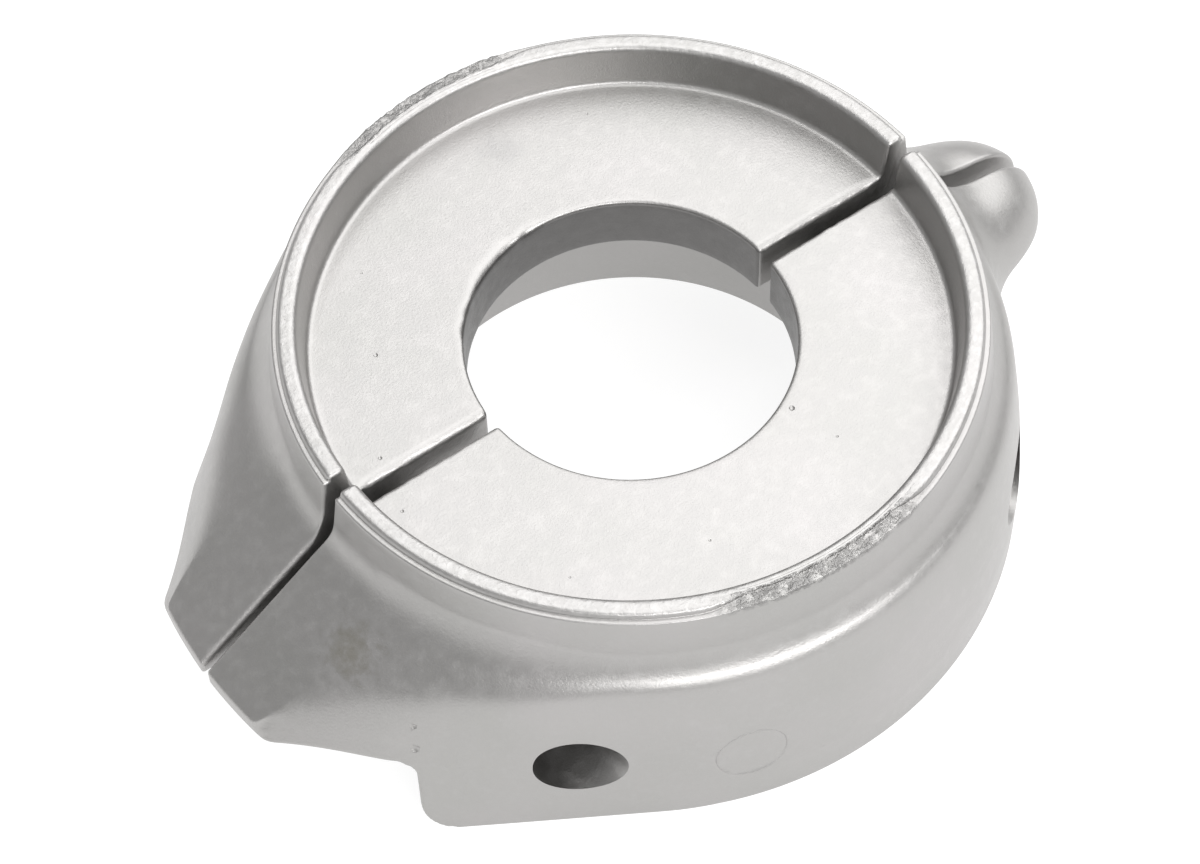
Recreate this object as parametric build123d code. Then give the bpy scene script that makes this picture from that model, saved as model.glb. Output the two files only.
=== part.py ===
from build123d import *
from math import cos, pi, radians, sin, tan
import os

# A split ring anode. Z is the axis of its bore and it stands on Z = 0.
# X runs along the parting plane, with the lobe at +X and the flare at -X.

# Overall size.
anode_height = 51.0
flare_reach = 89.2
lobe_reach = 89.2
split_gap = 3.0

# Rim. The other round parts of the upper side are sized from it.
rim_radius = 60.0
rim_width = 3.3
rim_inner_bevel = 1.1
rim_outer_bevel = 0.6
rim_step = 0.5

# Outer wall: heights, from the foot to the rim, and how far its round part stands outside the rim.
wall_offsets = ((0.0, 9.5), (9.0, 9.45), (20.0, 8.55), (30.0, 7.25), (anode_height, 4.3))
shoulder_rounding = 4.5

# The flanks leave the round wall at this angle from -X, less and less with height.
flank_angle_foot = 59.0
flank_angle_top = 34.0
flank_length_foot = 104.0
flank_length_top = 68.0
flank_points = 2
round_points = 10

# Collar outside the rim, and the slope at its foot.
collar_ledge = 1.0
collar_draft = 1.5
collar_foot_height = 38.85
cove_radius = 8.0
slope_angle = 35.0

# Recess inside the rim.
recess_depth = 8.5
recess_draft = 1.1
recess_corner = 1.0

# Web with the bore, and the cavity under it.
bore_radius = 28.7
bore_edge = 0.8
web_thickness = 11.7
cavity_foot_radius = 42.7
cavity_top_radius = 41.9
cavity_corner = 3.0

# Lobe. Its neck is rounded by a share of its straight side, and its round back lies along X.
lobe_nose_radius = 14.5
lobe_top_height = 29.5
lobe_bottom_height = 17.5
lobe_top_rounding = 11.5
lobe_neck_share = 0.8
lobe_root_offset = 6.5
lobe_saddle_radius = 15.2
lobe_saddle_height = 20.5

# Notch under the flare, between the ends of the foot ring.
notch_height = 17.0
notch_corner_x = 70.0
notch_corner_y = 37.0
notch_end_x = 57.0
notch_end_y = 10.2
notch_roof_rounding = 3.0
notch_foot_rounding = 6.0

# Clamp screws.
screw_x = 47.5
screw_height = 16.5
screw_diameter = 8.0
screw_length = 40.0
screw_tip_chamfer = 1.0
head_diameter = 13.0
head_height = 8.0
head_edge = 0.8
socket_across_flats = 6.0
socket_depth = 4.0
seat_depth = 20.5
counterbore_clearance = 1.0
shank_clearance = 0.6
thread_clearance = 0.1
tapped_spare_depth = 5.0

# Room that cutters take past a face.
over = 2.0

# How near a point is to a face that it counts as on, and how level a level edge is.
on_face = 0.05
level = 0.001

wall_sizes = [(height, rim_radius + offset) for height, offset in wall_offsets]
collar_top_radius = rim_radius + collar_ledge
collar_foot_radius = collar_top_radius + collar_draft
rim_inner_radius = rim_radius - rim_width
recess_foot_radius = rim_inner_radius - recess_draft
lobe_root_radius = rim_radius + lobe_root_offset
web_top = anode_height - recess_depth
web_foot = web_top - web_thickness
seat_y = -split_gap / 2 - seat_depth
bottom_up = (Align.CENTER, Align.CENTER, Align.MIN)
top_down = (Align.CENTER, Align.CENTER, Align.MAX)


def on_wall(angle, radius, height):
    """Point of the round wall at an angle from -X towards -Y."""
    return Vector(-radius * cos(angle), -radius * sin(angle), height)


def across(point):
    """The same point on the other side of the parting plane."""
    return Vector(point.X, -point.Y, point.Z)


def outline_points(height, radius):
    """Teardrop outline, from the end of one flank round to the end of the other."""
    share = height / anode_height
    angle = radians(flank_angle_foot + (flank_angle_top - flank_angle_foot) * share)
    length = flank_length_foot + (flank_length_top - flank_length_foot) * share
    leave = on_wall(angle, radius, height)
    end = Vector(-length, -(radius - length * cos(angle)) / sin(angle), height)
    points = [end + (leave - end) * (i / flank_points) for i in range(flank_points)]
    turn = (pi - angle) / round_points
    points += [on_wall(angle + turn * i, radius, height) for i in range(round_points)]
    far_side = [across(point) for point in reversed(points)]
    return points + [Vector(radius, 0, height)] + far_side


def shares_of_length(points):
    """How far along the outline each point lies, from 0 to 1."""
    runs = [0.0]
    for start, end in zip(points, points[1:]):
        runs.append(runs[-1] + (end - start).length)
    return [run / runs[-1] for run in runs]


def outer_wall():
    """Smooth wall through teardrop outlines that share one spacing of points."""
    middle = wall_sizes[len(wall_sizes) // 2]
    spacing = shares_of_length(outline_points(*middle))
    outlines = []
    for height, radius in wall_sizes:
        points = outline_points(height, radius)
        lead = points[1] - points[0]
        leads = [lead, Vector(-lead.X, lead.Y, 0)]
        side = Edge.make_spline(points, tangents=leads, parameters=spacing)
        outlines.append(Wire([side, Edge.make_line(points[-1], points[0])]))
    return Solid.make_loft(outlines)


def slope_height(radius):
    """Height of the slope round the collar at a radius."""
    return collar_foot_height - (radius - collar_foot_radius) * tan(radians(slope_angle))


def nearest(shape, x, y):
    """Corner of a flat shape nearest to a point."""
    return shape.vertices().sort_by_distance(Vector(x, y))[0]


def top_form():
    """All that lies under the recess, the rim, the collar and the slope at its foot."""
    run = max(flank_length_foot, flare_reach) + over
    rim_side = anode_height - rim_outer_bevel
    ledge = rim_side - rim_step
    outline = Polyline(
        (rim_radius, rim_side),
        (rim_radius, ledge),
        (collar_top_radius, ledge),
        (collar_foot_radius, collar_foot_height),
        (run, slope_height(run)),
        (run, -over),
        (0, -over),
        (0, web_top),
        (recess_foot_radius, web_top),
        (rim_inner_radius, anode_height - rim_inner_bevel),
        (rim_inner_radius + rim_inner_bevel, anode_height),
        (rim_radius - rim_outer_bevel, anode_height),
        close=True,
    )
    profile = make_face(outline)
    profile = fillet(nearest(profile, collar_foot_radius, collar_foot_height), cove_radius)
    profile = chamfer(nearest(profile, recess_foot_radius, web_top), recess_corner)
    return revolve(Plane.XZ * profile, Axis.Z)


def is_ridge(edge):
    """Whether an edge lies where the slope meets the outer wall."""
    for share in (0.1, 0.5, 0.9):
        point = edge.position_at(share)
        radius = Vector(point.X, point.Y).length
        on_slope = abs(slope_height(radius) - point.Z) < on_face
        if radius < collar_foot_radius + cove_radius / 3 or not on_slope:
            return False
    return abs(edge.position_at(0.5).Y) > over and edge.geom_type == GeomType.BSPLINE


def is_roof_edge(edge):
    """Whether an edge joins the notch's roof to its end walls."""
    middle = edge.center()
    lies_flat = abs(edge.tangent_at(0.5).Z) < level and abs(middle.Z - notch_height) < level
    return lies_flat and edge.geom_type == GeomType.LINE


def is_foot_edge(edge):
    """Whether an edge joins the foot to a slanting end wall of the notch."""
    middle = edge.center()
    outside = abs(middle.Y) > notch_end_y and middle.X < -notch_end_x
    return outside and abs(middle.Z) < level and edge.geom_type == GeomType.LINE


def notch():
    """Room under the flare, with end walls that slant out to the foot ring's corners."""
    lean = (notch_corner_x - notch_end_x) / (notch_corner_y - notch_end_y)
    far_y = flare_reach
    far_x = notch_corner_x + lean * (far_y - notch_corner_y)
    past = max(far_x, flare_reach) + over
    outline = Polyline(
        (-notch_end_x, -notch_end_y),
        (-far_x, -far_y),
        (-past, -far_y),
        (-past, far_y),
        (-far_x, far_y),
        (-notch_end_x, notch_end_y),
        close=True,
    )
    return extrude(Pos(0, 0, -over) * make_face(outline), notch_height + over)


def flared_body():
    """Ring and flare in one, with the notch cut under the flare."""
    body = top_form() & outer_wall()
    body = fillet(body.edges().filter_by(is_ridge), shoulder_rounding)
    body &= Cylinder(flare_reach, anode_height * 3)
    body -= notch()
    body = fillet(body.edges().filter_by(is_roof_edge), notch_roof_rounding)
    return fillet(body.edges().filter_by(is_foot_edge), notch_foot_rounding)


def lobe_outline():
    """Plan of the lobe, from inside the ring out to its nose."""
    nose_x = lobe_reach - lobe_nose_radius
    neck_x = (lobe_root_radius**2 - lobe_nose_radius**2) ** 0.5
    left_to_right = (Align.MIN, Align.CENTER)
    outline = Circle(lobe_root_radius) + Pos(nose_x, 0) * Circle(lobe_nose_radius)
    outline += Rectangle(nose_x, lobe_nose_radius * 2, align=left_to_right)
    necks = [nearest(outline, neck_x, side * lobe_nose_radius) for side in (-1, 1)]
    outline = fillet(necks, (nose_x - neck_x) * lobe_neck_share)
    inner_x = neck_x - lobe_nose_radius
    return outline & Pos(inner_x, 0) * Rectangle(lobe_reach, lobe_reach * 2, align=left_to_right)


def lobe():
    """Domed knob on the parting plane, faired into the round wall."""
    outline = Pos(0, 0, lobe_bottom_height) * lobe_outline()
    pad = extrude(outline, lobe_top_height - lobe_bottom_height)
    rims = pad.edges().group_by(Axis.Z)[-1]
    rims = rims.filter_by(lambda e: Vector(e.center().X, e.center().Y).length > lobe_root_radius)
    pad = fillet(rims, lobe_top_rounding)
    back = Pos(0, 0, lobe_saddle_height) * Rot(0, 90, 0) * Cylinder(
        lobe_saddle_radius, lobe_reach - lobe_nose_radius, align=bottom_up
    )
    saddle = extrude(outline, anode_height) & back & top_form()
    return pad + saddle


def bore_and_cavity():
    """Everything open along the axis, from the foot up through the web."""
    outline = Polyline(
        (0, -over),
        (cavity_foot_radius, -over),
        (cavity_foot_radius, 0),
        (cavity_top_radius, web_foot),
        (bore_radius, web_foot),
        (bore_radius, web_top - bore_edge),
        (bore_radius + bore_edge, web_top),
        (bore_radius + bore_edge, web_top + over),
        (0, web_top + over),
        close=True,
    )
    profile = make_face(outline)
    profile = chamfer(nearest(profile, cavity_top_radius, web_foot), cavity_corner)
    return revolve(Plane.XZ * profile, Axis.Z)


def along_y(bar, x, start):
    """A bar modelled up Z, laid along +Y at a screw's place."""
    return Pos(x, start, screw_height) * Rot(-90, 0, 0) * bar


def screw_hole(x):
    """Counterbore and clearance hole in the front, tapped hole in the rear."""
    counterbore = Cylinder(
        (head_diameter + counterbore_clearance) / 2, flare_reach, align=top_down
    )
    clear = Cylinder((screw_diameter + shank_clearance) / 2, seat_depth + over, align=bottom_up)
    tapped_depth = screw_length + tapped_spare_depth
    tapped = Cylinder((screw_diameter + thread_clearance) / 2, tapped_depth, align=bottom_up)
    return along_y(counterbore + clear + tapped, x, seat_y)


def clamp_screw(x):
    """Socket head cap screw, driven from the front."""
    head = Cylinder(head_diameter / 2, head_height, align=top_down)
    head = chamfer(head.edges().sort_by(Axis.Z)[0], head_edge)
    socket = RegularPolygon(socket_across_flats / 2, 6, major_radius=False)
    head -= extrude(Pos(0, 0, -head_height) * socket, socket_depth)
    shank = Cylinder(screw_diameter / 2, screw_length, align=bottom_up)
    shank = chamfer(shank.edges().sort_by(Axis.Z)[-1], screw_tip_chamfer)
    return along_y(head + shank, x, seat_y)


def casting():
    """The whole ring before it is parted."""
    body = flared_body() + lobe() - bore_and_cavity()
    for x in (-screw_x, screw_x):
        body -= screw_hole(x)
    return body


def half(body, side):
    """The part of the ring on one side of the gap: side is -1 or 1 along Y."""
    width = max(flare_reach, lobe_reach)
    room = Box(width * 3, width * 2, anode_height * 3)
    return body & Pos(0, side * (width + split_gap / 2), 0) * room


os.makedirs("parts", exist_ok=True)
ring = casting()
export_step(half(ring, -1), "parts/front_half.step")
export_step(half(ring, 1), "parts/rear_half.step")
screws = Compound(children=[clamp_screw(-screw_x), clamp_screw(screw_x)])
export_step(screws, "parts/clamp_screws.step")
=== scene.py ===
import math

import bmesh
import bpy
import numpy as np
from mathutils import Matrix, Vector, noise


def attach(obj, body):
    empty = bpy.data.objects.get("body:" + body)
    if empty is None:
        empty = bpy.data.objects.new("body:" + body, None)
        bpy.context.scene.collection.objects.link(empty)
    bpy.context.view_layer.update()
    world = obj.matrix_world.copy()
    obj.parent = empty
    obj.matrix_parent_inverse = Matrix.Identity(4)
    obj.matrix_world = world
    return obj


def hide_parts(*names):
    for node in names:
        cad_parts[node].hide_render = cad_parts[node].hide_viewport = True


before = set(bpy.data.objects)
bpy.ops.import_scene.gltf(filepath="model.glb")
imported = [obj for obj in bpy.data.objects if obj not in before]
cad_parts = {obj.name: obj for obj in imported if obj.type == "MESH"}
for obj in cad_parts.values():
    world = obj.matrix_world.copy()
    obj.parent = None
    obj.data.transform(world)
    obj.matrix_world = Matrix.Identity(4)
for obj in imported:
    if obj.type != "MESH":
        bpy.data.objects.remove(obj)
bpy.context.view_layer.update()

print("frame loaded")


def hexColour(code):
    # sRGB hex to the linear values that the shaders take
    parts = [int(code[i:i + 2], 16) / 255 for i in (0, 2, 4)]
    linear = [p / 12.92 if p <= 0.04045 else ((p + 0.055) / 1.055) ** 2.4 for p in parts]
    return (*linear, 1.0)


def addNode(tree, kind, settings=None, links=None):
    # one node with its plain settings, socket values and incoming links
    node = tree.nodes.new(kind)
    for name, value in (settings or {}).items():
        if isinstance(name, str) and name not in node.inputs and hasattr(node, name):
            setattr(node, name, value)
        else:
            node.inputs[name].default_value = value
    for name, socket in (links or {}).items():
        tree.links.new(socket, node.inputs[name])
    return node


def addMesh(name, points, faces):
    # points in millimetres, mesh in metres
    mesh = bpy.data.meshes.new(name)
    mesh.from_pydata((np.array(points) / 1000).tolist(), [], faces)
    return mesh


def addObject(name, data):
    # left at the origin, unturned and unscaled, unless it is a light or the camera
    thing = bpy.data.objects.new(name, data)
    bpy.context.collection.objects.link(thing)
    return thing


def turnOutwards(mesh):
    forms = bmesh.new()
    forms.from_mesh(mesh)
    bmesh.ops.recalc_face_normals(forms, faces=forms.faces)
    forms.to_mesh(mesh)
    forms.free()


def smoothMin(a, b, width):
    # the smaller of two lengths, with a blend as wide as a fillet
    share = np.clip(0.5 + 0.5 * (b - a) / width, 0, 1)
    return b + (a - b) * share - width * share * (1 - share)


def smoothStep(low, high, value):
    share = np.clip((value - low) / (high - low), 0, 1)
    return share * share * (3 - 2 * share)


# The two cast halves share one closed outline for every direction round the bore. Lengths are in
# millimetres, and a pair that ends in Fade is where a change starts and where it is complete.
ring = dict(
    height=51.0, reach=89.2, meanRadius=75.0, boreRadius=28.7, webTop=42.5, webFoot=30.8,
    # wall: its radius by height, and how far from the flare the flanks leave it, in degrees
    wallHeights=(0.0, 9.0, 20.0, 30.0, 51.0), wallRadii=(69.5, 69.45, 68.55, 67.25, 64.3),
    flankFoot=59.0, flankTop=34.0,
    # the flanks are a little fuller than straight, between these angles from the flare in radians
    fullness=2.6, fullFade=(0.2, 0.47), plainFade=(0.6, 0.95), footFade=(0, 18),
    recessFoot=55.6, rimInner=56.75, rimOuter=60.0, ledgeHeight=49.85, ledgeRadius=61.0,
    collarFootRadius=62.5, collarFootHeight=38.85, slope=35.0, cove=4.0,
    # shoulder: its rounding grows towards the flare and ends in a crisp edge
    shoulder=2.6, shoulderGrowth=0.1, shoulderFrom=67.0, shoulderSpan=12.0, middleShare=0.25,
    endEdge=0.5, endFade=(80, 88), endBlend=0.8, meltPasses=30, meltFade=(76, 86),
    # notch under the flare: its end walls, then its span and fade as angles from the flare in radians
    flareUnderside=17.0, notchEnd=(57.0, 10.2), notchCorner=(70.6, 37.0), notchFoot=5.0, notchRoof=3.5,
    notchBlend=3.0, notchEdge=1.6, notchSpan=1.0, levelFade=(1.0, 1.4), evenFoot=2.0,
    # where the wall has no underside, its two corners part in height, so that they don't coincide
    split=0.2, splitWidth=1.5,
    cavityFoot=42.7, cavityTop=41.9, cavityRounding=3.0,
    gap=3.0, edgeRounding=0.8, gapTaper=0.8, taperFade=(60.5, 65.5), depthFade=(0, 14),
    # how far the skin's waves stay off the gap's face, the foot and the very top
    skinOff=(0.4, 0.8, 0.05),
)
# Roundings of the outline's corners. Where the gate broke off, the rim's outer edge is left sharper.
edges = dict(
    webFoot=0.6, webTop=0.8, recess=1.0, rimInner=1.2, rimOuter=0.9, brokenRim=0.35, step=0.2, ledge=0.35,
    middle=1.0, under=0.6, footWall=0.3, foot=0.5,
)
# Ring and lobe are blended along lines that fan out from the hub, and over these angles in radians.
lobe = dict(
    noseRadius=14.5, topHeight=29.5, middleHeight=22.0, bottomHeight=17.5, topRounding=11.5,
    neck=13.0, hub=(58.0, 20.0), farthest=45, slant=0.9, end=0.62, evenFade=(0.36, 0.58),
)
# The rim is broken away where the casting's gate was snapped off; directions in degrees.
gate = dict(
    start=71.0, end=115.0, fade=9.0, lip=58.5, stepLean=0.25, floorHeight=50.4, outerRadius=60.9,
    ragged=0.12, raggedPerDegree=0.55, gritFrom=49.4, gritInner=58.3, gritOuter=62.2,
)
# The rear half's edge at the bore is worn round; directions in degrees.
wear = dict(depth=0.9, startFade=(82, 95), endFade=(138, 152), unevenness=0.7, unevenPerDegree=0.22)
# Ragged metal stands up along the gap, and the rear half has a broad rounded lip there.
burr = dict(height=0.55, width=0.45, reach=0.6, fromTop=0.9, offRecess=1.0, roughPerMm=0.7,
            rearShare=1.6, frontShare=0.6)
lip = dict(radius=1.7, reach=2.2, webFade=(52.0, 55.0), flareFade=(63.0, 66.0))

# heights at which the wall under the flare is followed, closest where the notch is rounded
footHeights = (16.7, 16.1, 15.2, 14.0, 9.5, 5.0, 3.7, 2.7, 1.9, 1.2, 0.65, 0.25)

# what a corner of the outline holds: samples in its rounding, samples on the run after it
outlinePlan = (
    ("boreFoot", 4, 6), ("boreTop", 6, 30), ("recessFoot", 5, 6), ("rimInner", 7, 4),
    ("rimOuter", 6, 1), ("step", 4, 7), ("ledge", 5, 8), ("collarFoot", 10, 14),
    ("ridge", 14, 4), ("middle", 3, 4), ("underOuter", 4, 6), ("underInner", 3, 0),
    *[("footWall", 2, 0)] * len(footHeights), ("footOuter", 5, 8), ("footInner", 3, 8), ("cavityTop", 6, 4),
)
cornerNames = [name for name, _, _ in outlinePlan]

# sections round a half: near the gap's face by their share of the edge's depth, then from and to in
# degrees with the number of steps, closest at the lobe, gate and flare
sectionPlan = dict(
    beyondRounding=0.3, nearFace=(0.0, 0.05, 0.13, 0.25, 0.4, 0.58, 0.78),
    spans=((0.0, 16.5, 48), (16.5, 72, 40), (72, 114, 110), (114, 138, 20), (138, 156, 62), (156, 180, 66)),
)


def wallRadius(fromFlare, height):
    # teardrop wall: round, then flanks that leave it tangentially
    size = ring
    radius = np.interp(height, size["wallHeights"], size["wallRadii"])
    swing = (size["flankTop"] - size["flankFoot"]) * height / size["height"]
    leave = np.radians(size["flankFoot"] + swing)
    # 1.3 rad keeps the cosine away from zero; the flare's end cuts the flank off long before
    plain = np.where(fromFlare < leave, radius / np.cos(np.minimum(leave - fromFlare, 1.3)), radius)
    along = smoothStep(*size["fullFade"], fromFlare) * (1 - smoothStep(*size["plainFade"], fromFlare))
    return plain + size["fullness"] * (along * smoothStep(*size["footFade"], height))


def slopeHeight(radius):
    size = ring
    fall = math.tan(math.radians(size["slope"]))
    return size["collarFootHeight"] - (radius - size["collarFootRadius"]) * fall


def outerRadius(angle, height):
    # wall and flare end together, above the flare's underside
    return float(smoothMin(wallRadius(math.pi - angle, height), ring["reach"], ring["endBlend"]))


def notchRadius(fromFlare, height):
    # end walls of the notch: flat middle, slanted sides, rounded at its foot and under its roof
    (endX, endY), (cornerX, cornerY) = ring["notchEnd"], ring["notchCorner"]
    foot, roof = ring["notchFoot"], ring["notchRoof"]
    below, above = max(foot - height, 0), max(height - ring["flareUnderside"] + roof, 0)
    back = foot - math.sqrt(max(foot ** 2 - below ** 2, 0)) - roof + math.sqrt(max(roof ** 2 - above ** 2, 0))
    lean = (cornerX - endX) / (cornerY - endY)
    # 1.2 rad and 0.05 keep both divisions away from zero, outside the notch
    flat = (endX - back) / math.cos(min(fromFlare, 1.2))
    reach = max(math.cos(fromFlare) - lean * math.sin(fromFlare), 0.05)
    slanted = (endX - back * math.hypot(1, lean) - lean * endY) / reach
    return -float(smoothMin(-flat, -slanted, ring["notchBlend"]))


def footRadius(fromFlare, height):
    # wall below the flare, with the notch cut into it
    wall = float(wallRadius(fromFlare, height))
    if fromFlare >= ring["notchSpan"]:
        return wall
    return float(smoothMin(wall, notchRadius(fromFlare, height), ring["notchEdge"]))


def outsideLobe(radius, angle, height, inset):
    # distance outside the lobe: round in plan, with parallel sides, and rounded over the top
    rounding = lobe["topRounding"] - inset
    alongX, alongY = radius * math.cos(angle), radius * math.sin(angle)
    past = np.maximum(alongX - (ring["reach"] - lobe["noseRadius"]), 0)
    side = np.hypot(past, alongY) - (lobe["noseRadius"] - inset) + rounding
    above = height - (lobe["topHeight"] - inset) + rounding
    outer = np.hypot(np.maximum(side, 0), np.maximum(above, 0))
    return outer + np.minimum(np.maximum(side, above), 0) - rounding


def withLobe(radii, heights, angle, inset):
    # each point of the plain section pushed out until it is on the ring and lobe blended
    hubR, hubZ = lobe["hub"]
    runR, runZ = radii - hubR, heights - hubZ
    plain = np.hypot(runR, runZ)
    low, high = np.ones_like(plain), np.ones_like(plain) * lobe["farthest"] / plain
    for _ in range(26):  # halvings, to well under a micrometre
        middle = (low + high) / 2
        fromRing = (middle - 1) * plain * lobe["slant"]
        fromLobe = outsideLobe(hubR + runR * middle, angle, hubZ + runZ * middle, inset)
        within = smoothMin(fromRing, fromLobe, lobe["neck"]) < 0
        low, high = np.where(within, middle, low), np.where(within, high, middle)
    return hubR + runR * low, hubZ + runZ * low


def lobeEdge(radius, angle, height):
    # how far out ring and lobe together reach at one height
    for _ in range(60):
        fromRing = radius - outerRadius(angle, height)
        fromLobe = outsideLobe(radius, angle, height, 0.0)
        radius -= lobe["slant"] * float(smoothMin(fromRing, fromLobe, lobe["neck"]))
    return radius


def gateShare(angle):
    # 1 where the gate was snapped off, 0 where the rim is whole
    degrees = math.degrees(angle)
    rise = smoothStep(gate["start"], gate["start"] + gate["fade"], degrees)
    return float(rise * (1 - smoothStep(gate["end"] - gate["fade"], gate["end"], degrees)))


def sampleStart(name):
    # where one corner's samples begin
    return sum(a + b for _, a, b in outlinePlan[:cornerNames.index(name)])


def outlineCorners(angle, worn, lobed):
    # radius, height and rounding of every corner of the section in one direction
    size = ring
    slopeRadius = 66.4  # first guess of where slope and wall meet
    for _ in range(40):
        slopeRadius = outerRadius(angle, slopeHeight(slopeRadius))
    ridgeHeight = slopeHeight(slopeRadius)
    wider = min(max(slopeRadius - size["shoulderFrom"], 0), size["shoulderSpan"])
    shoulder = size["shoulder"] + size["shoulderGrowth"] * wider
    shoulder = size["endEdge"] + shoulder * (1 - float(smoothStep(*size["endFade"], slopeRadius)))
    under = size["flareUnderside"]
    middleHeight = under + size["middleShare"] * (ridgeHeight - under)
    if lobed:
        middleHeight, under = lobe["middleHeight"], lobe["bottomHeight"]
    middle, outer = outerRadius(angle, middleHeight), outerRadius(angle, under)
    inner = outer
    if lobed:
        middle, outer = lobeEdge(middle, angle, middleHeight), lobeEdge(outer, angle, under)
    fromFlare = math.pi - angle
    if fromFlare < size["notchSpan"]:
        inner = footRadius(fromFlare, under)
    split = size["split"] * (1 - min(max((outer - inner) / size["splitWidth"], 0), 1))
    levels = np.array(footHeights)
    even = np.linspace(footHeights[0], size["evenFoot"], len(levels))
    levels += (even - levels) * smoothStep(*size["levelFade"], fromFlare)
    footWall = [(footRadius(fromFlare, z), z, edges["footWall"]) for z in levels.tolist()]
    broken = gateShare(angle)
    rimOuter = size["rimOuter"] + (gate["lip"] - size["rimOuter"]) * broken
    floorHeight = size["ledgeHeight"] + (gate["floorHeight"] - size["ledgeHeight"]) * broken
    ledge = size["ledgeRadius"] + (gate["outerRadius"] - size["ledgeRadius"]) * broken
    along = math.degrees(angle) * gate["raggedPerDegree"]
    ledge += gate["ragged"] * broken * noise.noise(Vector((along, 1.7, 4.2)))
    rimEdge = edges["rimOuter"] + (edges["brokenRim"] - edges["rimOuter"]) * broken
    return (
        (size["boreRadius"], size["webFoot"], edges["webFoot"]),
        (size["boreRadius"], size["webTop"], edges["webTop"] + worn),
        (size["recessFoot"], size["webTop"], edges["recess"]),
        (size["rimInner"], size["height"], edges["rimInner"]),
        (rimOuter, size["height"], rimEdge),
        (rimOuter + gate["stepLean"] * broken, floorHeight, edges["step"]),
        (ledge, floorHeight, edges["ledge"]),
        (size["collarFootRadius"], size["collarFootHeight"], size["cove"]),
        (slopeRadius, ridgeHeight, shoulder),
        (middle, middleHeight, edges["middle"]),
        (outer, under + split, edges["under"]),
        (footRadius(fromFlare, under - split), under - split, edges["footWall"]),
        *footWall,
        (footRadius(fromFlare, 0.0), 0.0, edges["foot"]),
        (size["cavityFoot"], 0.0, edges["foot"]),
        (size["cavityTop"], size["webFoot"], size["cavityRounding"]),
    )


def drawnIn(points, reach, inset):
    # the outline moved inwards all round, for the rounded edges along the gap; 0.3 holds back the
    # sharpest corners, and 0.12 keeps every corner a little rounded
    ahead = np.roll(points, -1, axis=0) - points
    ahead /= np.linalg.norm(ahead, axis=1)[:, None]
    inward = np.stack([ahead[:, 1], -ahead[:, 0]], axis=1)
    before = np.roll(inward, 1, axis=0)
    share = 1 + np.sum(inward * before, axis=1)
    turning = before[:, 0] * inward[:, 1] - before[:, 1] * inward[:, 0]
    moved = points + inset * (inward + before) / np.maximum(share, 0.3)[:, None]
    return moved, np.maximum(reach + inset * np.clip(turning * 2, -1, 1), 0.12)


def roundedOutline(corners, inset):
    # samples the closed outline, each corner averaged over its own rounding
    points = np.array([(c[0], c[1]) for c in corners])
    reach = np.array([c[2] for c in corners])
    points, reach = drawnIn(points, reach, inset)
    following = np.roll(points, -1, axis=0)
    lengths = np.linalg.norm(following - points, axis=1)
    for _ in range(3):  # two neighbours share the run between them, and leave a little of it
        share = np.minimum(1, 0.94 * lengths / (reach + np.roll(reach, -1)))
        reach = reach * np.minimum(share, np.roll(share, 1))
    starts = np.concatenate([[0], np.cumsum(lengths)])
    total = starts[-1]
    # running integral of the position, so that an average over a span is one subtraction
    knots = np.concatenate([starts - total, starts[1:], starts[1:] + total])
    places = np.concatenate([points, points, points, points[:1]])
    steps = np.diff(knots)[:, None]
    integral = np.concatenate([[[0, 0]], np.cumsum(steps * (places[1:] + places[:-1]) / 2, axis=0)])

    def integralAt(where):
        cell = np.clip(np.searchsorted(knots, where, side="right") - 1, 0, len(steps) - 1)
        into = (where - knots[cell])[:, None]
        slopeHere = (places[cell + 1] - places[cell]) / np.maximum(steps[cell], 1e-9)
        return integral[cell] + places[cell] * into + slopeHere * into ** 2 / 2

    where, spans = [], []
    for i, (_, inRounding, onRun) in enumerate(outlinePlan):
        here = starts[i]
        where += list(np.linspace(here - reach[i], here + reach[i], inRounding))
        spans += [reach[i]] * inRounding
        nextStart = starts[i + 1] - reach[(i + 1) % len(reach)]
        where += list(np.linspace(here + reach[i], nextStart, onRun + 2)[1:-1])
        spans += [0.05] * onRun  # a run is straight, so next to nothing is averaged
    where, spans = np.array(where), np.maximum(np.array(spans), 0.02)
    outline = (integralAt(where + spans) - integralAt(where - spans)) / (2 * spans[:, None])
    # collar foot and shoulder melt into one soft wave, except at the flare's crisp end
    melted, first, last = outline.copy(), sampleStart("collarFoot"), sampleStart("middle")
    for _ in range(ring["meltPasses"]):
        inner = melted[first + 1:last - 1]
        melted[first + 1:last - 1] = inner / 2 + (melted[first:last - 2] + melted[first + 2:last]) / 4
    share = 1 - float(smoothStep(*ring["meltFade"], corners[cornerNames.index("ridge")][0]))
    return outline + (melted - outline) * share


def pushedOut(plain, lobed, angle, inset):
    # slides the samples between cove and underside to heights that suit the dome, and moves them out
    first = sampleStart("collarFoot") + outlinePlan[cornerNames.index("collarFoot")][1]
    last = sampleStart("underOuter")
    segment = plain[first:last]
    hub = np.array(lobe["hub"])
    own = np.arctan2(segment[:, 1] - hub[1], segment[:, 0] - hub[0])
    away = np.hypot(segment[:, 0] - hub[0], segment[:, 1] - hub[1])
    end = math.atan2(lobed[last, 1] - hub[1], lobed[last, 0] - hub[0]) + 0.01
    even = np.linspace(own[0], end, last - first)
    weight = 1 - smoothStep(*lobe["evenFade"], angle)
    turn = own + (even - own) * weight
    reach = np.interp(-turn, -own, away)
    radii, heights = withLobe(hub[0] + reach * np.cos(turn), hub[1] + reach * np.sin(turn), angle, inset)
    outline = lobed.copy()
    outline[first:last] = np.stack([radii, heights], axis=1)
    return outline


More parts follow.
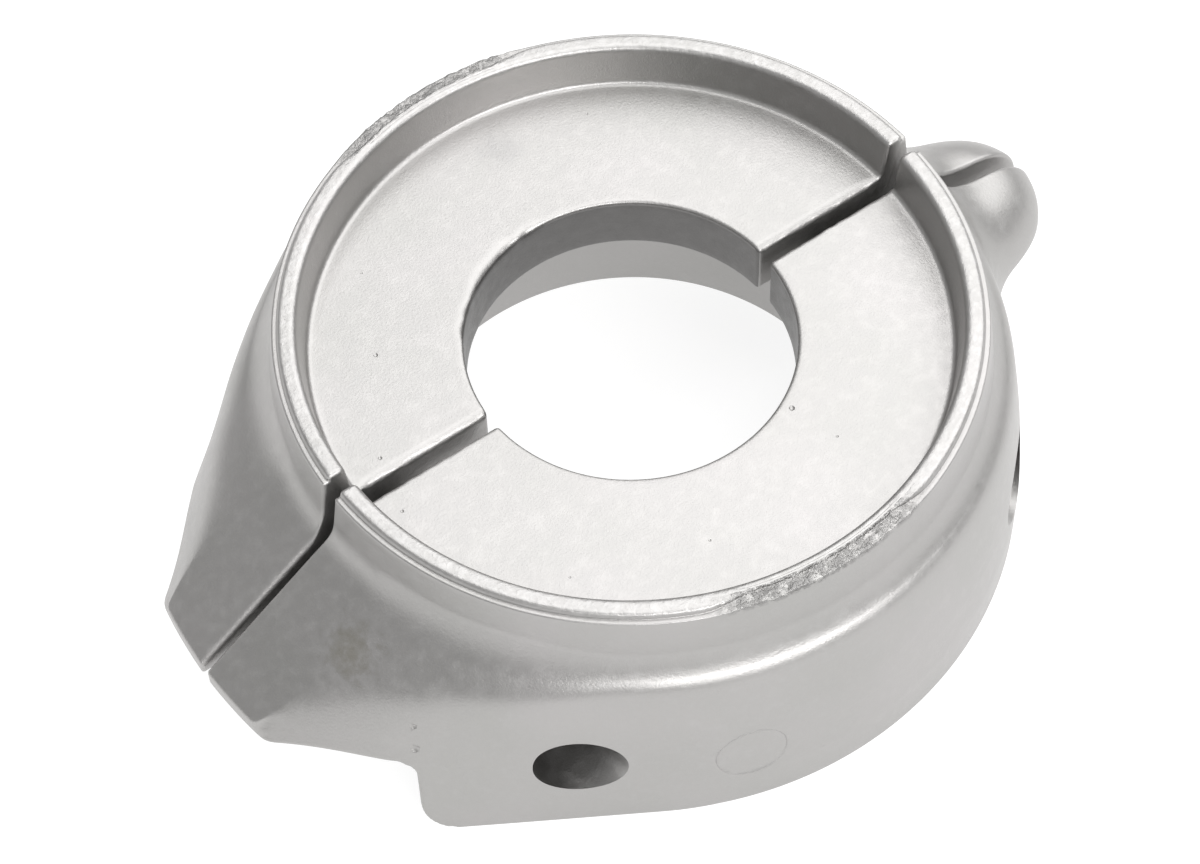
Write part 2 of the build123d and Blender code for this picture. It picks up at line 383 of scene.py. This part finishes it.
def sectionCuts():
    # direction of each section and how far it lies from the gap's face: the first and last few are
    # parallel to that face, the others fan out round the axis
    fan = ring["edgeRounding"] + sectionPlan["beyondRounding"]
    near = [(0.0, share * fan) for share in sectionPlan["nearFace"]]
    fanned = [(0.0, fan)]
    for start, end, count in sectionPlan["spans"]:
        fanned += [(math.radians(a), fan) for a in np.linspace(start, end, count + 1)[1:]]
    return near + fanned + [(math.pi, depth) for _, depth in reversed(near)]


def sectionPoints(turn, depth, side):
    # one section as points in space, and how much each belongs to the broken gate
    size = ring
    fromMiddle = size["gap"] / 2 + depth
    angle = turn + math.asin(fromMiddle / size["meanRadius"]) * (1 - 2 * turn / math.pi)
    worn = 0.0
    if side > 0:
        degrees = math.degrees(angle)
        here = smoothStep(*wear["startFade"], degrees) * (1 - smoothStep(*wear["endFade"], degrees))
        worn = wear["depth"] * float(here)
        along = degrees * wear["unevenPerDegree"]
        worn *= 1 + wear["unevenness"] * noise.noise(Vector((along, 0.3, 0.9)))
    rounding = size["edgeRounding"]
    inset = rounding - math.sqrt(rounding ** 2 - max(rounding - depth, 0) ** 2)
    outline = roundedOutline(outlineCorners(angle, worn, False), inset)
    if angle < lobe["end"]:
        lobed = roundedOutline(outlineCorners(angle, worn, True), inset)
        outline = pushedOut(outline, lobed, angle, inset)
    radii, heights = outline[:, 0], outline[:, 1]
    true = turn + np.arcsin(fromMiddle / radii) * (1 - 2 * turn / math.pi)
    points = np.stack([radii * np.cos(true), radii * np.sin(true), heights], axis=1)
    if depth < burr["reach"]:
        onWeb = abs(heights - size["webTop"]) < burr["fromTop"]
        onWeb &= radii < size["recessFoot"] - burr["offRecess"]
        fading = math.exp(-depth / burr["width"])
        share = burr["rearShare"] if side > 0 else burr["frontShare"]
        for i in np.flatnonzero(onWeb):
            rough = noise.noise(Vector((points[i, 0] * burr["roughPerMm"], side * 3.0, 0.5)))
            points[i, 2] += burr["height"] * max(rough, 0) * fading * share
    onRim = (points[:, 2] > gate["gritFrom"]) & (radii > gate["gritInner"]) & (radii < gate["gritOuter"])
    return points, gateShare(angle) * onRim


def lipDrop(points, depth):
    # how much lower the rear half's top surfaces lie beside the gap, where its edge is well rounded
    size, far = ring, np.hypot(points[:, 0], points[:, 1])
    own, wide = size["edgeRounding"], lip["radius"]
    inner, outer = np.clip(own - depth, 0, own), np.clip(wide - depth, 0, wide)
    drop = (wide - np.sqrt(wide ** 2 - outer ** 2)) - (own - np.sqrt(own ** 2 - inner ** 2))
    onWeb = 1 - smoothStep(*lip["webFade"], far)
    onFlare = smoothStep(*lip["flareFade"], far) * (points[:, 0] < 0)
    top = np.where(far < size["recessFoot"], size["webTop"], slopeHeight(far))
    high = smoothStep(top - own - lip["reach"], top - own, points[:, 2])
    return drop * high * (onWeb + onFlare)


def makeHalf(name, side):
    # one closed casting; side is 1 for the rear half and -1 for the front half, which is mirrored
    size = ring
    facePlane = size["gap"] / 2
    sections = [sectionPoints(turn, depth, side) for turn, depth in sectionCuts()]
    count, rows = len(sections[0][0]), len(sections)
    points = np.concatenate([section for section, _ in sections])
    mask = np.concatenate([share for _, share in sections])
    offFace, offFoot, offTop = size["skinOff"]
    skinned = (points[:, 1] > facePlane + offFace) & (points[:, 2] > offFoot)
    skinned &= points[:, 2] < size["height"] - offTop
    pulled = size["gapTaper"] * smoothStep(*size["taperFade"], -points[:, 0])  # narrower at the flare
    pulled *= 1 - smoothStep(*size["depthFade"], points[:, 1] - facePlane)
    points[:, 1] = np.maximum(points[:, 1], facePlane) - pulled
    points[:, 2] = np.clip(points[:, 2], 0, size["height"])
    if side > 0:
        points[:, 2] -= lipDrop(points, np.maximum(points[:, 1] - facePlane + pulled, 0))
    points[:, 1] *= side
    faces = []
    for c in range(rows - 1):
        for r in range(count):
            a, b = c * count + r, c * count + (r + 1) % count
            faces.append((a, a + count, b + count, b))
    faces += [tuple(range(count)), tuple(reversed(range((rows - 1) * count, rows * count)))]
    if side > 0:
        faces = [face[::-1] for face in faces]
    mesh = addMesh(name, points, faces)
    for label, values in (("brokenGate", mask), ("skin", skinned)):
        attribute = mesh.attributes.new(label, "FLOAT", "POINT")
        attribute.data.foreach_set("value", values.astype(np.float32))
    mesh.validate()
    mesh.update()
    print(name, len(points), "points", len(faces), "faces")
    return addObject(name, mesh)


def openTree(name, inputs):
    # a Geometry Nodes tree with its named inputs and one geometry output
    tree = bpy.data.node_groups.new(name, "GeometryNodeTree")
    for label, kind, value in inputs:
        socket = tree.interface.new_socket(name=label, in_out="INPUT", socket_type="NodeSocket" + kind)
        if value is not None:
            socket.default_value = value
    tree.interface.new_socket(name="Geometry", in_out="OUTPUT", socket_type="NodeSocketGeometry")
    return tree, tree.nodes.new("NodeGroupInput").outputs


def closeTree(tree, geometry, material):
    # every tree ends alike: instances made real, then their material
    plain = addNode(tree, "GeometryNodeRealizeInstances", {}, {0: geometry})
    coated = addNode(tree, "GeometryNodeSetMaterial", {},
                     {"Geometry": plain.outputs[0], "Material": material})
    addNode(tree, "NodeGroupOutput", {}, {0: coated.outputs[0]})
    return tree


castSkin = {  # millimetres
    "Wave height": 0.04, "Wave size": 16.0, "Ripple height": 0.03, "Ripple size": 3.5,
    "Grit height": 0.7, "Grit size": 1.3,
}


def castSkinTree():
    # unevenness of a casting: slow waves all over, coarse grit where the gate broke off
    sizes = [(name, "Float", value / 1000) for name, value in castSkin.items()]
    tree, given = openTree("castSkin", [("Casting", "Geometry", None), *sizes,
                                        ("Seed", "Float", 1.0), ("Alloy", "Material", None)])
    place = addNode(tree, "GeometryNodeInputPosition").outputs[0]
    height = None
    for label, mask in (("Wave", "skin"), ("Ripple", "skin"), ("Grit", "brokenGate")):
        scale = addNode(tree, "ShaderNodeMath", {"operation": "DIVIDE", 0: 1.0}, {1: given[label + " size"]})
        field = addNode(tree, "ShaderNodeTexNoise", {"noise_dimensions": "4D", "Detail": 1.5},
                        {"Vector": place, "W": given["Seed"], "Scale": scale.outputs[0]})
        centred = addNode(tree, "ShaderNodeMath", {"operation": "SUBTRACT", 1: 0.5}, {0: field.outputs[0]})
        where = addNode(tree, "GeometryNodeInputNamedAttribute", {"data_type": "FLOAT", "Name": mask})
        high = addNode(tree, "ShaderNodeMath", {"operation": "MULTIPLY"},
                       {0: centred.outputs[0], 1: given[label + " height"]})
        layer = addNode(tree, "ShaderNodeMath", {"operation": "MULTIPLY"},
                        {0: high.outputs[0], 1: where.outputs[0]}).outputs[0]
        if height:
            layer = addNode(tree, "ShaderNodeMath", {"operation": "ADD"}, {0: height, 1: layer}).outputs[0]
        height = layer
    outward = addNode(tree, "GeometryNodeInputNormal").outputs[0]
    offset = addNode(tree, "ShaderNodeVectorMath", {"operation": "SCALE"}, {0: outward, "Scale": height})
    moved = addNode(tree, "GeometryNodeSetPosition", {},
                    {"Geometry": given["Casting"], "Offset": offset.outputs[0]})
    return closeTree(tree, moved.outputs[0], given["Alloy"])


def bakePiece(piece):
    # the evaluated shape becomes a plain mesh, and the modifiers go
    bpy.context.view_layer.update()
    evaluated = piece.evaluated_get(bpy.context.evaluated_depsgraph_get())
    mesh = bpy.data.meshes.new_from_object(evaluated)
    old = piece.data
    piece.modifiers.clear()
    piece.data = mesh
    mesh.name = piece.name
    bpy.data.meshes.remove(old)


def applyTree(piece, tree, values):
    # runs a tree on a piece
    modifier = piece.modifiers.new(tree.name, "NODES")
    modifier.node_group = tree
    for item in tree.interface.items_tree:
        if item.item_type == "SOCKET" and item.in_out == "INPUT" and item.name in values:
            modifier[item.identifier] = values[item.name]
    bakePiece(piece)


def takeAway(piece, cutters):
    # cuts the cutters out of a piece, one after the other, and deletes them
    for cutter in cutters:
        modifier = piece.modifiers.new(cutter.name, "BOOLEAN")
        modifier.operation = "DIFFERENCE"
        modifier.solver = "EXACT"
        modifier.object = cutter
    bakePiece(piece)
    for cutter in cutters:
        mesh = cutter.data
        bpy.data.objects.remove(cutter)
        bpy.data.meshes.remove(mesh)


marks = dict(
    # pits in the web: x, y and radius
    frontPits=((13.4, -28.0, 0.62), (-51.2, -6.2, 0.4), (-13.3, -40.8, 0.3), (16.1, -37.0, 0.3),
               (-36.0, -33.0, 0.24)),
    rearPits=((-37.5, 22.6, 0.5), (-48.4, 4.7, 0.45), (-30.0, 38.5, 0.26), (22.0, 44.0, 0.28)),
    # nicks in the wall: direction, height and radius, and the share of the radius that stays outside
    nicks=((-153.5, 21.0, 1.5), (-154.2, 25.5, 0.9), (-98.0, 9.0, 0.8)), nickOutside=0.86,
    # round mark of the ejector pin: direction and height
    ejectorAt=(-108.8, 15.0), ejectorRadius=6.25, ejectorDepth=0.14, ejectorWidth=0.34, ejectorOutside=0.1,
)


def solidBar(name, radius, start, end, x, z, sides=64):
    # closed bar along Y, to be cut out
    angles = np.linspace(0, 2 * math.pi, sides, endpoint=False)
    ends = [[(x + radius * math.cos(a), y, z + radius * math.sin(a)) for a in angles] for y in (start, end)]
    faces = [tuple(range(sides)), tuple(range(2 * sides - 1, sides - 1, -1))]
    for i in range(sides):
        j = (i + 1) % sides
        faces.append((i, i + sides, j + sides, j))
    return addObject(name, addMesh(name, ends[0] + ends[1], faces))


def smallPits(name, places):
    # one ball for each place, given by x, y, z and radius, to be cut out as a round dent
    forms = bmesh.new()
    for x, y, z, radius in places:
        where = Matrix.Translation(Vector((x, y, z)) / 1000)
        bmesh.ops.create_icosphere(forms, subdivisions=2, radius=radius / 1000, matrix=where)
    mesh = bpy.data.meshes.new(name)
    forms.to_mesh(mesh)
    forms.free()
    return addObject(name, mesh)


def wallPlace(degrees, height, outside):
    # a place on the wall or a little outside it; the front half's directions are negative
    angle = math.radians(abs(degrees))
    radius = outerRadius(angle, height) + outside
    return radius * math.cos(angle), math.copysign(radius * math.sin(angle), degrees), height


def ejectorRing(name, sides=72):
    # closed ring with a triangular section that cuts the ejector pin's round outline into the wall
    degrees, height = marks["ejectorAt"]
    wall = outerRadius(math.radians(-degrees), height)
    middle, half, outside = marks["ejectorRadius"], marks["ejectorWidth"], marks["ejectorOutside"]
    section = ((middle + half, outside), (middle, -marks["ejectorDepth"]), (middle - half, outside))
    points, faces = [], []
    for i in range(sides):
        turn = 2 * math.pi * i / sides
        for radius, above in section:
            across = math.degrees(radius * math.cos(turn) / wall)
            points.append(wallPlace(degrees + across, height + radius * math.sin(turn), above))
        j = (i + 1) % sides
        for k in range(3):
            n = (k + 1) % 3
            faces.append((3 * i + k, 3 * j + k, 3 * j + n, 3 * i + n))
    mesh = addMesh(name, points, faces)
    turnOutwards(mesh)
    return addObject(name, mesh)


castAlloy = dict(  # sizes, places and depths in millimetres
    # the crest's colour is lighter partly as a painted highlight; the bore's colour and the colours of the
    # two patches are painted shade
    body="ADABAA", dull="A8A7A5", bright="B6B5B4", gateFace="7F7E7D", scuffedCrestAndHighlight="BDBCBB", flareValleyShade="857F66",
    farFloorShade="8C8B8C", paintedBoreShade="737271",
    grain=0.5, mottle=2.2, cloud=24.0, speckle=1.5, scuff=1.6,
    boreShadeRadius=29.0, boreShadeFade=(42.4, 41.4), crestFade=(50.2, 50.9),
    # places and sizes of two patches of painted shade: an olive-grey one in the valley at the flare's root,
    # and a grey one on the rear half's floor before the far wall
    flareValleyShadeAt=(-69.5, -18.0, 31.0), flareValleyShadeSize=6.5, farFloorShadeAt=(4.7, 46.5, 42.5), farFloorShadeSize=6.0,
    blotEdge=6.0, blotRagged=14.0,
    gloss=(0.38, 0.47), gateBump=3.0, crestBump=0.5, bumpStrength=0.55, bumpDepth=0.1,
)


def castAlloyMaterial(name):
    # sacrificial alloy cast in a metal mould and left as cast: satin silver grey with a fine tight
    # grain, hardly visible clouds, a rim crest made lighter by its scuffs and by a painted highlight,
    # painted shade darkening the bore's wall, and two patches of painted shade: olive-grey in the valley
    # at the flare's root, grey on the rear half's floor before the far wall
    look = castAlloy
    material = bpy.data.materials.new(name)
    material.use_nodes = True
    tree = material.node_tree
    tree.nodes.clear()
    place = addNode(tree, "ShaderNodeTexCoord").outputs["Object"]
    shader = addNode(tree, "ShaderNodeBsdfPrincipled", {"Metallic": 1.0, "Roughness": 0.42})
    addNode(tree, "ShaderNodeOutputMaterial", {}, {"Surface": shader.outputs[0]})
    fields = {}
    patterns = (("cloud", 2.0, 0.5), ("mottle", 3.0, 0.6), ("grain", 3.0, 0.7), ("scuff", 4.0, 0.7))
    for label, detail, rough in patterns:
        settings = {"Scale": 1000 / look[label], "Detail": detail, "Roughness": rough}
        fields[label] = addNode(tree, "ShaderNodeTexNoise", settings, {"Vector": place}).outputs[0]
    # where the bore's painted shade, the rim's crest with its scuffs and painted highlight, and the broken
    # gate are
    height = addNode(tree, "ShaderNodeSeparateXYZ", {}, {"Vector": place}).outputs[2]
    flat = addNode(tree, "ShaderNodeVectorMath", {"operation": "MULTIPLY", 1: (1, 1, 0)}, {0: place})
    fromAxis = addNode(tree, "ShaderNodeVectorMath", {"operation": "LENGTH"}, {0: flat.outputs[0]})
    # painted shade: the bore's wall below the web's top edge is coloured darker grey, as its shade
    inBore = addNode(tree, "ShaderNodeMath", {"operation": "LESS_THAN", 1: look["boreShadeRadius"] / 1000},
                     {0: fromAxis.outputs["Value"]})
    low, high = (edge / 1000 for edge in look["boreShadeFade"])
    belowWeb = addNode(tree, "ShaderNodeMapRange", {"From Min": low, "From Max": high}, {"Value": height})
    paintedBoreShade = addNode(tree, "ShaderNodeMath", {"operation": "MULTIPLY"},
                       {0: inBore.outputs[0], 1: belowWeb.outputs[0]})
    # the rim's top band, where real scuffs and a painted highlight make the colour lighter
    low, high = (edge / 1000 for edge in look["crestFade"])
    onCrest = addNode(tree, "ShaderNodeMapRange", {"From Min": low, "From Max": high}, {"Value": height})
    scuffed = addNode(tree, "ShaderNodeMapRange", {"From Min": 0.4, "From Max": 0.6},
                      {"Value": fields["scuff"]})
    scuffedCrestAndHighlight = addNode(tree, "ShaderNodeMath", {"operation": "MULTIPLY"},
                    {0: onCrest.outputs[0], 1: scuffed.outputs[0]})
    dots = addNode(tree, "ShaderNodeTexVoronoi", {"Scale": 1000 / look["speckle"]}, {"Vector": place})
    broken = addNode(tree, "ShaderNodeAttribute", {"attribute_name": "brokenGate"}).outputs["Fac"]
    chips = addNode(tree, "ShaderNodeMath", {"operation": "MULTIPLY"}, {0: broken, 1: scuffed.outputs[0]})
    # each finish or painted light lies over the ones before it: what it follows, from, to, the most of it,
    # its colour
    shares = [
        (fields["cloud"], 0.3, 0.7, 1.0, "body"), (fields["mottle"], 0.5, 0.75, 0.35, "bright"),
        # the crest layer in this row is partly real scuffing and partly a painted highlight along the rim's
        # top
        (dots.outputs[0], 0.14, 0.05, 0.35, "dull"), (scuffedCrestAndHighlight.outputs[0], 0.0, 1.0, 0.45, "scuffedCrestAndHighlight"),
        # the last layer in this row is painted shade on the bore's wall
        (chips.outputs[0], 0.0, 1.0, 0.9, "gateFace"), (paintedBoreShade.outputs[0], 0.0, 1.0, 1.0, "paintedBoreShade"),
    ]
    ragged, edge = look["blotRagged"] / 1000, look["blotEdge"] / 1000
    # painted shade: two patches darken the colour as shade, olive-grey in the valley at the flare's root and
    # grey on the rear half's floor before the far wall
    for label, most in (("flareValleyShade", 0.34), ("farFloorShade", 0.3)):
        centre = tuple(v / 1000 for v in look[label + "At"])
        away = addNode(tree, "ShaderNodeVectorMath", {"operation": "DISTANCE", 1: centre}, {0: place})
        blot = addNode(tree, "ShaderNodeMath", {"operation": "MULTIPLY_ADD", 1: ragged},
                       {0: fields["mottle"], 2: away.outputs["Value"]})
        size = look[label + "Size"] / 1000
        shares.append((blot.outputs[0], size + edge, size * 0.25 + edge, most, label))
    colour = None
    for value, low, high, most, code in shares:
        share = addNode(tree, "ShaderNodeMapRange", {"From Min": low, "From Max": high, "To Max": most},
                        {"Value": value})
        colours = {6: hexColour(look["dull"]), 7: hexColour(look[code])}
        layer = addNode(tree, "ShaderNodeMix", {"data_type": "RGBA", **colours}, {0: share.outputs[0]})
        if colour:
            tree.links.new(colour, layer.inputs[6])
        colour = layer.outputs[2]
    tree.links.new(colour, shader.inputs["Base Color"])
    smooth, rough = look["gloss"]
    gloss = addNode(tree, "ShaderNodeMapRange",
                    {"From Min": 0.3, "From Max": 0.7, "To Min": smooth, "To Max": rough},
                    {"Value": fields["mottle"]})
    tree.links.new(gloss.outputs[0], shader.inputs["Roughness"])
    snapped = addNode(tree, "ShaderNodeMath", {"operation": "MULTIPLY_ADD", 1: look["gateBump"]},
                      {0: chips.outputs[0], 2: fields["grain"]})
    pitted = addNode(tree, "ShaderNodeMath", {"operation": "MULTIPLY_ADD", 1: look["crestBump"]},
                     {0: scuffedCrestAndHighlight.outputs[0], 2: snapped.outputs[0]})
    bump = addNode(tree, "ShaderNodeBump",
                   {"Strength": look["bumpStrength"], "Distance": look["bumpDepth"] / 1000},
                   {"Height": pitted.outputs[0]})
    tree.links.new(bump.outputs[0], shader.inputs["Normal"])
    return material


screws = dict(  # millimetres; the screws lie along Y, heads towards the front
    x=47.5, z=16.5, seat=-22.0, length=40.0, radius=4.0, tipRadius=2.8,
    headRadius=6.5, headHeight=8.0, headEdge=0.5, seatEdge=0.2, socket=6.0, socketDepth=4.0,
    neckOut=0.3, neckAlong=0.4, shankPlay=0.02,
    knurls=44, knurlRadius=0.3, knurlLength=6.4, knurlInset=0.16,
    pitch=1.25, threadLength=28.0, threadDepth=0.6, ridge=0.42, leadIn=0.8,
    # holes: their radii, and where along Y they start and end
    counterbore=6.8, clearance=4.3, tapped=4.05, holeStart=-95, clearanceEnd=5, tappedSpan=(-5, 23),
    steelDark="77787A", steelLight="9A9B9D", steelGloss=(0.26, 0.42),
    lineSize=1 / 1.4,  # turning and rolling lines, 1.4 to the millimetre
)


def screwBlank(name):
    # one socket head screw without its thread, head towards -Y, hexagon sunk into it
    size = screws
    sides, seat, edge, leadIn = 48, size["seat"], size["headEdge"], size["leadIn"]
    headTop, tip = seat - size["headHeight"], seat + size["length"]
    threadStart = tip - size["threadLength"]
    shank, core = size["radius"] - size["shankPlay"], size["radius"] - size["threadDepth"]
    profile = (
        (size["headRadius"] - edge, headTop), (size["headRadius"], headTop + edge),
        (size["headRadius"], seat - size["seatEdge"]), (size["headRadius"] - size["seatEdge"], seat),
        (size["radius"] + size["neckOut"], seat), (shank, seat + size["neckAlong"]), (shank, threadStart),
        (core, threadStart + leadIn), (core, tip - leadIn), (size["tipRadius"], tip),
    )
    points, faces = [], []
    for radius, along in profile:
        for i in range(sides):
            turn = 2 * math.pi * i / sides
            points.append((radius * math.cos(turn), along, radius * math.sin(turn)))
    hexReach = size["socket"] / math.sqrt(3)
    for along in (headTop, headTop + size["socketDepth"]):
        for i in range(sides):
            turn = 2 * math.pi * i / sides
            fromFlat = (turn + math.pi / 6) % (math.pi / 3) - math.pi / 6
            radius = hexReach * math.cos(math.pi / 6) / math.cos(fromFlat)
            points.append((radius * math.cos(turn), along, radius * math.sin(turn)))
    last = len(profile) - 1
    loops = [(k, k + 1) for k in range(last)] + [(last + 1, 0), (last + 2, last + 1)]
    for low, high in loops:
        for i in range(sides):
            j = (i + 1) % sides
            faces.append((low * sides + i, low * sides + j, high * sides + j, high * sides + i))
    faces.append(tuple(last * sides + i for i in range(sides)))
    faces.append(tuple((last + 2) * sides + i for i in reversed(range(sides))))
    mesh = addMesh(name, points, faces)
    turnOutwards(mesh)
    return addObject(name, mesh)


def clampScrewTree():
    # rolled thread and knurled head added to the blank, and the finished screw set at both places
    size = screws
    sizes = [(name, "Float", value / 1000) for name, value in (
        ("Pitch", size["pitch"]), ("Thread length", size["threadLength"] - 2 * size["leadIn"]),
        ("Thread radius", size["radius"] - size["ridge"]), ("Ridge", size["ridge"]),
        ("Head radius", size["headRadius"] - size["knurlInset"]), ("Head height", size["knurlLength"]),
        ("Spacing", 2 * size["x"]))]
    tree, given = openTree("clampScrew", [("Blank", "Geometry", None), *sizes,
                                          ("Knurls", "Int", size["knurls"]), ("Steel", "Material", None)])
    lengthways = (math.pi / 2, 0, 0)
    threadEnd = (0, (size["seat"] + size["length"] - size["leadIn"]) / 1000, 0)
    headMiddle = (0, (size["seat"] - size["headHeight"] / 2) / 1000, 0)
    turns = addNode(tree, "ShaderNodeMath", {"operation": "DIVIDE"},
                    {0: given["Thread length"], 1: given["Pitch"]})
    helix = addNode(tree, "GeometryNodeCurveSpiral", {"Resolution": 20},
                    {"Rotations": turns.outputs[0], "Start Radius": given["Thread radius"],
                     "End Radius": given["Thread radius"], "Height": given["Thread length"]})
    ridge = addNode(tree, "GeometryNodeCurvePrimitiveCircle", {"Resolution": 3}, {"Radius": given["Ridge"]})
    thread = addNode(tree, "GeometryNodeCurveToMesh", {"Fill Caps": True},
                     {"Curve": helix.outputs[0], "Profile Curve": ridge.outputs[0]})
    threaded = addNode(tree, "GeometryNodeTransform", {"Rotation": lengthways, "Translation": threadEnd},
                       {0: thread.outputs[0]})
    rim = addNode(tree, "GeometryNodeMeshCircle", {},
                  {"Vertices": given["Knurls"], "Radius": given["Head radius"]})
    bar = addNode(tree, "GeometryNodeMeshCylinder", {"Vertices": 6, "Radius": size["knurlRadius"] / 1000},
                  {"Depth": given["Head height"]})
    knurls = addNode(tree, "GeometryNodeInstanceOnPoints", {},
                     {"Points": rim.outputs[0], "Instance": bar.outputs[0]})
    knurled = addNode(tree, "GeometryNodeTransform", {"Rotation": lengthways, "Translation": headMiddle},
                      {0: knurls.outputs[0]})
    whole = addNode(tree, "GeometryNodeJoinGeometry")
    for part in (knurled.outputs[0], threaded.outputs[0], given["Blank"]):
        tree.links.new(part, whole.inputs[0])
    half = addNode(tree, "ShaderNodeMath", {"operation": "MULTIPLY", 1: -0.5}, {0: given["Spacing"]})
    start = addNode(tree, "ShaderNodeCombineXYZ", {"Z": size["z"] / 1000}, {"X": half.outputs[0]})
    step = addNode(tree, "ShaderNodeCombineXYZ", {}, {"X": given["Spacing"]})
    places = addNode(tree, "GeometryNodeMeshLine", {"Count": 2},
                     {"Start Location": start.outputs[0], "Offset": step.outputs[0]})
    both = addNode(tree, "GeometryNodeInstanceOnPoints", {},
                   {"Points": places.outputs[0], "Instance": whole.outputs[0]})
    return closeTree(tree, both.outputs[0], given["Steel"])


def screwSteelMaterial(name):
    # stainless steel screw, turned and rolled: darker and shinier than the casting
    look = screws
    material = bpy.data.materials.new(name)
    material.use_nodes = True
    tree = material.node_tree
    tree.nodes.clear()
    place = addNode(tree, "ShaderNodeTexCoord").outputs["Object"]
    shader = addNode(tree, "ShaderNodeBsdfPrincipled", {"Metallic": 1.0, "Roughness": 0.32})
    addNode(tree, "ShaderNodeOutputMaterial", {}, {"Surface": shader.outputs[0]})
    lines = addNode(tree, "ShaderNodeTexNoise", {"Scale": 1000 / look["lineSize"], "Detail": 2.0},
                    {"Vector": place}).outputs[0]
    colour = addNode(tree, "ShaderNodeValToRGB", {}, {"Fac": lines})
    colour.color_ramp.elements[0].color = hexColour(look["steelDark"])
    colour.color_ramp.elements[1].color = hexColour(look["steelLight"])
    tree.links.new(colour.outputs[0], shader.inputs["Base Color"])
    smooth, rough = look["steelGloss"]
    gloss = addNode(tree, "ShaderNodeMapRange", {"To Min": smooth, "To Max": rough}, {"Value": lines})
    tree.links.new(gloss.outputs[0], shader.inputs["Roughness"])
    return material


alloy = castAlloyMaterial("castAlloyAsCast")
steel = screwSteelMaterial("rolledStainlessSteel")
skin = castSkinTree()

frontHalf = makeHalf("frontHalf", -1)
rearHalf = makeHalf("rearHalf", 1)
applyTree(frontHalf, skin, {"Seed": 3.0, "Alloy": alloy})
applyTree(rearHalf, skin, {"Seed": 8.0, "Alloy": alloy})
for piece in (frontHalf, rearHalf):  # the grit stays below the rim's own height
    places = np.empty(3 * len(piece.data.vertices))
    piece.data.vertices.foreach_get("co", places)
    places[2::3] = np.minimum(places[2::3], ring["height"] / 1000)
    piece.data.vertices.foreach_set("co", places)
print("castings skinned")

cutters, tapped = [], []
for x in (-screws["x"], screws["x"]):
    seat, z = screws["seat"], screws["z"]
    cutters.append(solidBar("counterbore", screws["counterbore"], screws["holeStart"], seat, x, z, 96))
    cutters.append(solidBar("clearance", screws["clearance"], seat - 1, screws["clearanceEnd"], x, z))
    tapped.append(solidBar("tapped", screws["tapped"], *screws["tappedSpan"], x, z))
# a pit's ball sits half its radius above the web, so its dent is shallow
frontDents = [(x, y, ring["webTop"] + r / 2, r) for x, y, r in marks["frontPits"]]
rearDents = [(x, y, ring["webTop"] + r / 2, r) for x, y, r in marks["rearPits"]]
for degrees, height, r in marks["nicks"]:
    frontDents.append((*wallPlace(degrees, height, marks["nickOutside"] * r), r))
cutters += [smallPits("frontDents", frontDents), ejectorRing("ejectorMark")]
takeAway(frontHalf, cutters)
takeAway(rearHalf, [smallPits("rearDents", rearDents)])
takeAway(rearHalf, tapped)
print("screw holes cut")
for piece in (frontHalf, rearHalf):
    piece.data.materials.clear()
    piece.data.materials.append(alloy)
    piece.data.shade_smooth()
    piece.data.set_sharp_from_angle(angle=math.radians(40))

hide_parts("front_half")
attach(frontHalf, "root")
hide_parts("rear_half")
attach(rearHalf, "root")

clampScrews = screwBlank("clampScrews")
applyTree(clampScrews, clampScrewTree(), {"Steel": steel})
clampScrews.data.set_sharp_from_angle(angle=math.radians(35))
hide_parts("clamp_screws")
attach(clampScrews, "root")
print("screws threaded")

studio = dict(  # metres and watts; a box is its place, width, height and power
    floor="8C8C8C", floorGlow=0.86, floorReach=3.0, air=0.51, lightsAim=(0, 0, 0.03),
    topBox=((0.6, 0.2, 1.3), 2.0, 2.2, 30), frontBox=((-0.06, -1.12, 0.86), 1.3, 0.42, 14),
    lens=99.0, sensor=36, cameraAt=(-0.18407, -0.26351, 0.50863),
    cameraTurn=((0.8143, 0.4949, -0.3033), (-0.5802, 0.6780, -0.4514), (-0.0177, 0.5435, 0.8392)),
)


def paleFloor():
    # a lit table, so that the shadow stays faint; it lies a tenth of a millimetre under the foot
    far, below = studio["floorReach"] * 1000, -0.1
    corners = [(x, y, below) for x, y in ((-far, -far), (far, -far), (far, far), (-far, far))]
    plane = addObject("paleFloor", addMesh("paleFloor", corners, [(0, 1, 2, 3)]))
    material = bpy.data.materials.new("paleFloorPaint")
    material.use_nodes = True
    shader = material.node_tree.nodes["Principled BSDF"]
    shader.inputs["Base Color"].default_value = hexColour(studio["floor"])
    shader.inputs["Roughness"].default_value = 0.9
    shader.inputs["Emission Color"].default_value = (1, 1, 1, 1)
    shader.inputs["Emission Strength"].default_value = studio["floorGlow"]
    plane.data.materials.append(material)


def studioAir():
    # even light from all round
    world = bpy.data.worlds.new("studioAir")
    world.use_nodes = True
    background = world.node_tree.nodes["Background"]
    background.inputs["Color"].default_value = (1, 1, 1, 1)
    background.inputs["Strength"].default_value = studio["air"]
    bpy.context.scene.world = world


def softBox(name):
    place, width, height, power = studio[name]
    lamp = bpy.data.lights.new(name, "AREA")
    lamp.shape = "RECTANGLE"
    lamp.size, lamp.size_y, lamp.energy = width, height, power
    holder = addObject(name, lamp)
    holder.location = place
    aim = Vector(studio["lightsAim"]) - Vector(place)
    holder.rotation_euler = aim.to_track_quat("-Z", "Y").to_euler()


paleFloor()
studioAir()
softBox("topBox")
softBox("frontBox")
bpy.context.scene.view_settings.view_transform = "Standard"

camera = bpy.data.cameras.new("camera")
camera.lens, camera.sensor_width = studio["lens"], studio["sensor"]
camera.clip_start, camera.clip_end = 0.05, 10
holder = addObject("camera", camera)
holder.matrix_world = Matrix.Translation(studio["cameraAt"]) @ Matrix(studio["cameraTurn"]).to_4x4()
bpy.context.scene.camera = holder
print("studio lit")
